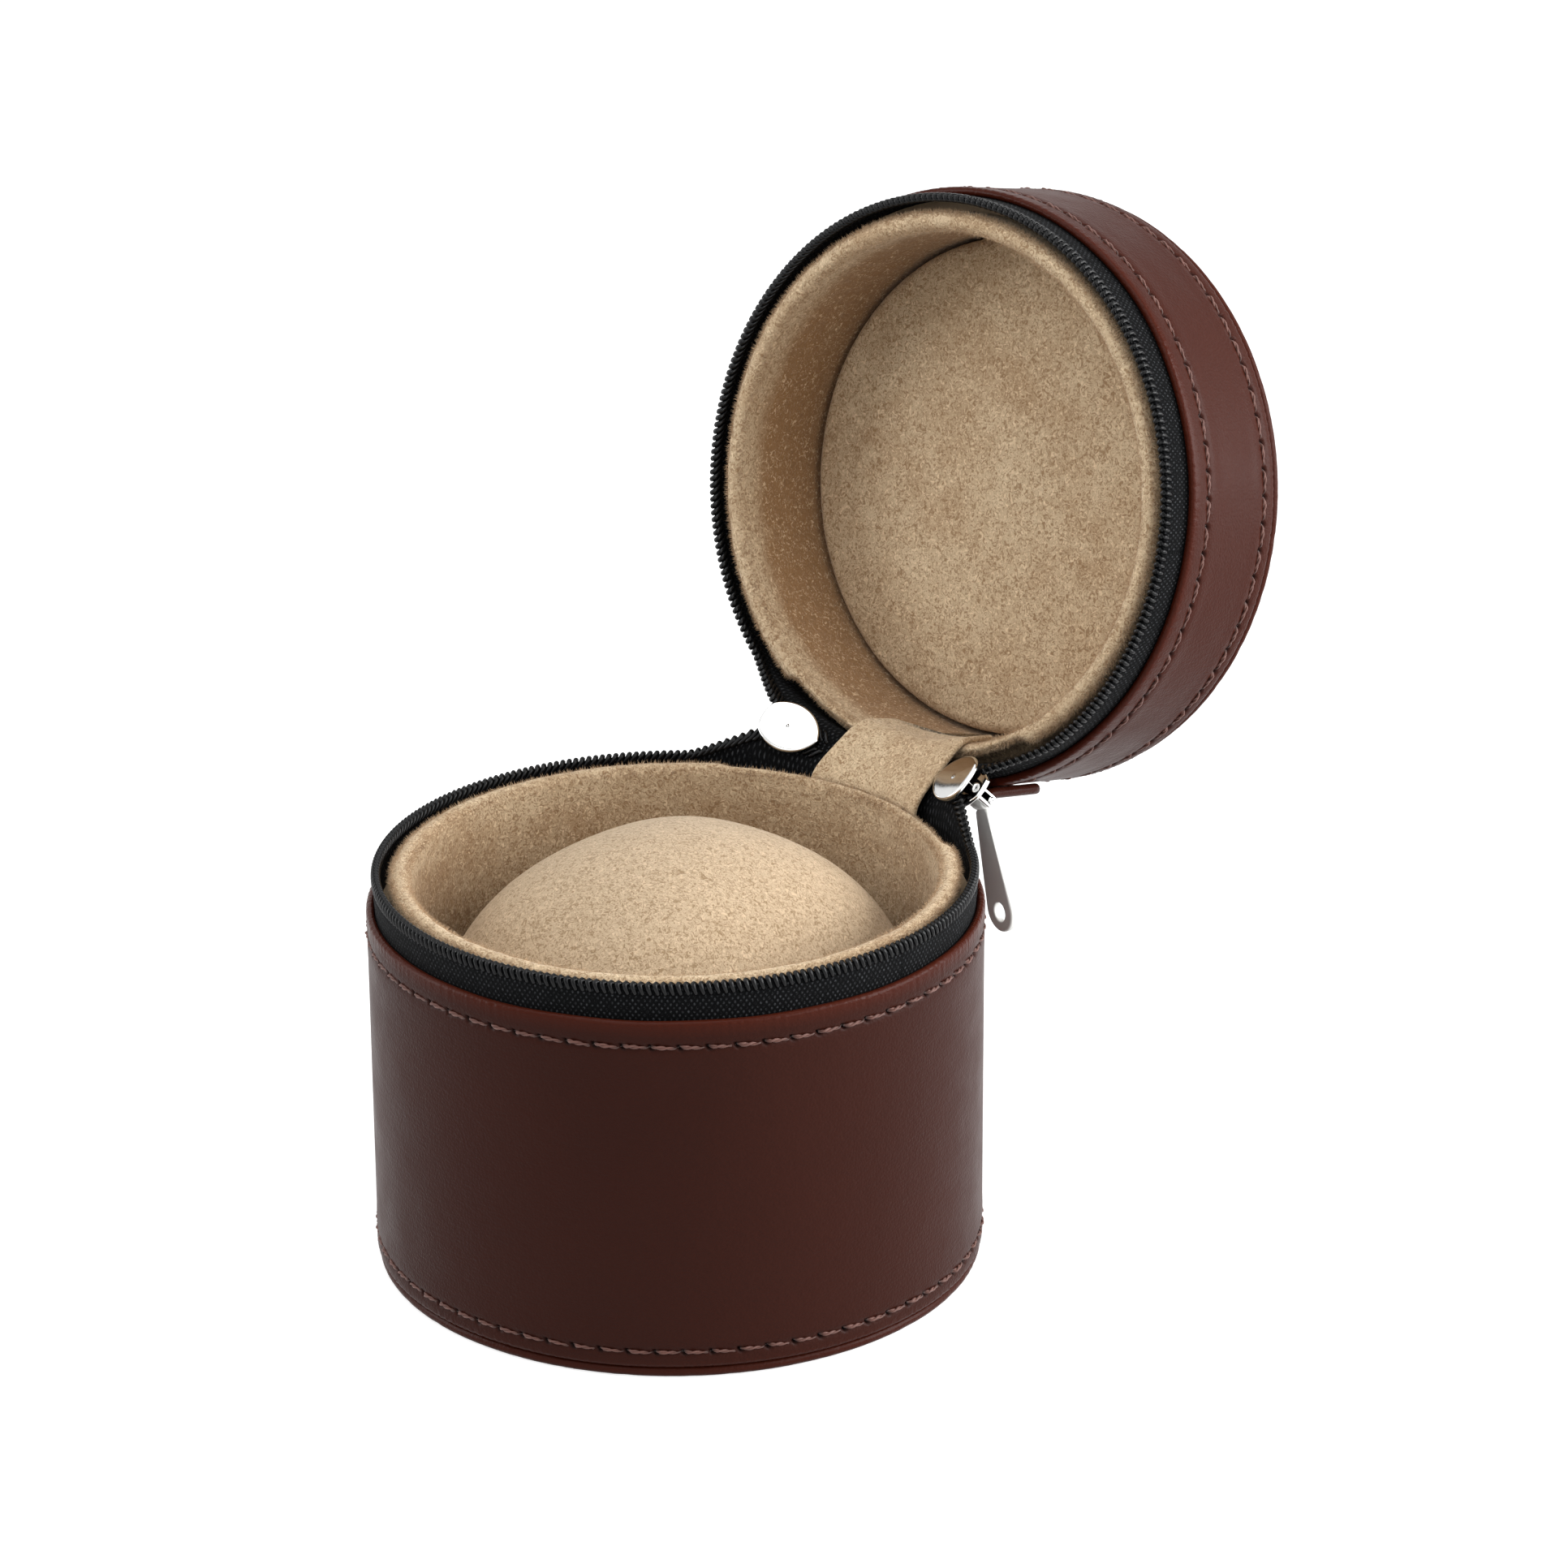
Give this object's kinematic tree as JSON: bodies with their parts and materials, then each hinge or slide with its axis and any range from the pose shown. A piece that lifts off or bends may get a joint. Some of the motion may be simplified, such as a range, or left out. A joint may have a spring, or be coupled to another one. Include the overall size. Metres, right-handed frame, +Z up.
{
  "type": "watch travel case",
  "caption": "Round zip-around leather watch case with a fold-back lid, a padded suede lining and a domed suede cushion that carries the watch.",
  "frame": {"origin": "centre of the flat bottom face, on the surface that the case stands on", "axes": "+Z up along the round wall's axis; the hinge is at the back, on the +Y side, and its fold line runs along X; the case is open"},
  "size_m": [0.1004, 0.1534, 0.1626],
  "materials": {
    "leather": "smooth fine-grained, semi-gloss",
    "panel_leather": "smooth fine-grained, semi-gloss",
    "board": "grey-brown paper board, matt",
    "lining_suede": "short-pile suede, matt",
    "strap_suede": "fine suede, matt",
    "cushion_suede": "fine microsuede, matt",
    "foam": "soft foam, matt",
    "thread": "waxed twisted thread, satin",
    "zip_cloth": "woven black tape, matt",
    "zip_teeth": "black coil, glossy",
    "slider_metal": "polished",
    "pull_metal": "satin nickel"
  },
  "bodies": {
    "base": {"base_leather_band": "leather", "base_bottom_panel": "panel_leather", "base_tube_core": "board", "base_bottom_board": "board", "base_lining": "lining_suede", "base_floor_pad": "lining_suede", "base_stitch_top": "thread", "base_stitch_bottom": "thread", "base_zip_tape": "zip_cloth", "base_zip_teeth": "zip_teeth", "hinge_leather_tab": "leather", "hinge_suede_strap": "strap_suede"},
    "lid": {"lid_leather_band": "leather", "lid_top_panel": "panel_leather", "lid_tube_core": "board", "lid_top_board": "board", "lid_lining": "lining_suede", "lid_inner_pad": "lining_suede", "lid_stitch_rim": "thread", "lid_stitch_top": "thread", "lid_zip_tape": "zip_cloth", "lid_zip_teeth": "zip_teeth"},
    "zip_end": {"zip_end_teeth": "zip_teeth", "zip_end_gusset": "zip_cloth"},
    "slider_right": {"slider_right_body": "slider_metal", "slider_right_bridge": "slider_metal"},
    "pull_right": {"pull_right": "pull_metal"},
    "slider_left": {"slider_left_body": "slider_metal", "slider_left_bridge": "slider_metal"},
    "pull_left": {"pull_left": "pull_metal"},
    "cushion": {"cushion_cover": "cushion_suede", "cushion_core": "foam"}
  },
  "joints": [
    {"name": "lid_hinge", "type": "hinge", "parent": "base", "child": "lid", "pos_m": [0, 0.0496, 0.0668], "axis": [1, 0, 0], "range_deg": [0, 103], "deforming": ["hinge_leather_tab", "hinge_suede_strap"]},
    {"name": "zip_end_fold", "type": "hinge", "parent": "base", "child": "zip_end", "pos_m": [0, 0.0496, 0.0668], "axis": [1, 0, 0], "range_deg": [0, 51.5]},
    {"name": "slider_right_travel", "type": "hinge", "parent": "zip_end", "child": "slider_right", "pos_m": [0, 0.01982, 0.10649], "axis": [0, 0.7826, 0.6225], "range_deg": [-146.67, 0]},
    {"name": "slider_left_travel", "type": "hinge", "parent": "zip_end", "child": "slider_left", "pos_m": [0, 0.01982, 0.10649], "axis": [0, 0.7826, 0.6225], "range_deg": [0, 150.33]},
    {"name": "pull_right_swing", "type": "hinge", "parent": "slider_right", "child": "pull_right", "pos_m": [0.02301, 0.04954, 0.06912], "axis": [-0.9009, 0.2702, -0.3397], "range_deg": [-80, 8]},
    {"name": "pull_left_swing", "type": "hinge", "parent": "slider_left", "child": "pull_left", "pos_m": [-0.01992, 0.05039, 0.06805], "axis": [-0.9267, -0.2339, 0.2941], "range_deg": [-80, 8]},
    {"name": "cushion_lift", "type": "slide", "parent": "base", "child": "cushion", "axis": [0, 0, 1], "range_m": [0, 0.014]}
  ],
  "couplings": [
    {"joint": "zip_end_fold", "follows": "lid_hinge", "ratio": 0.5}
  ]
}
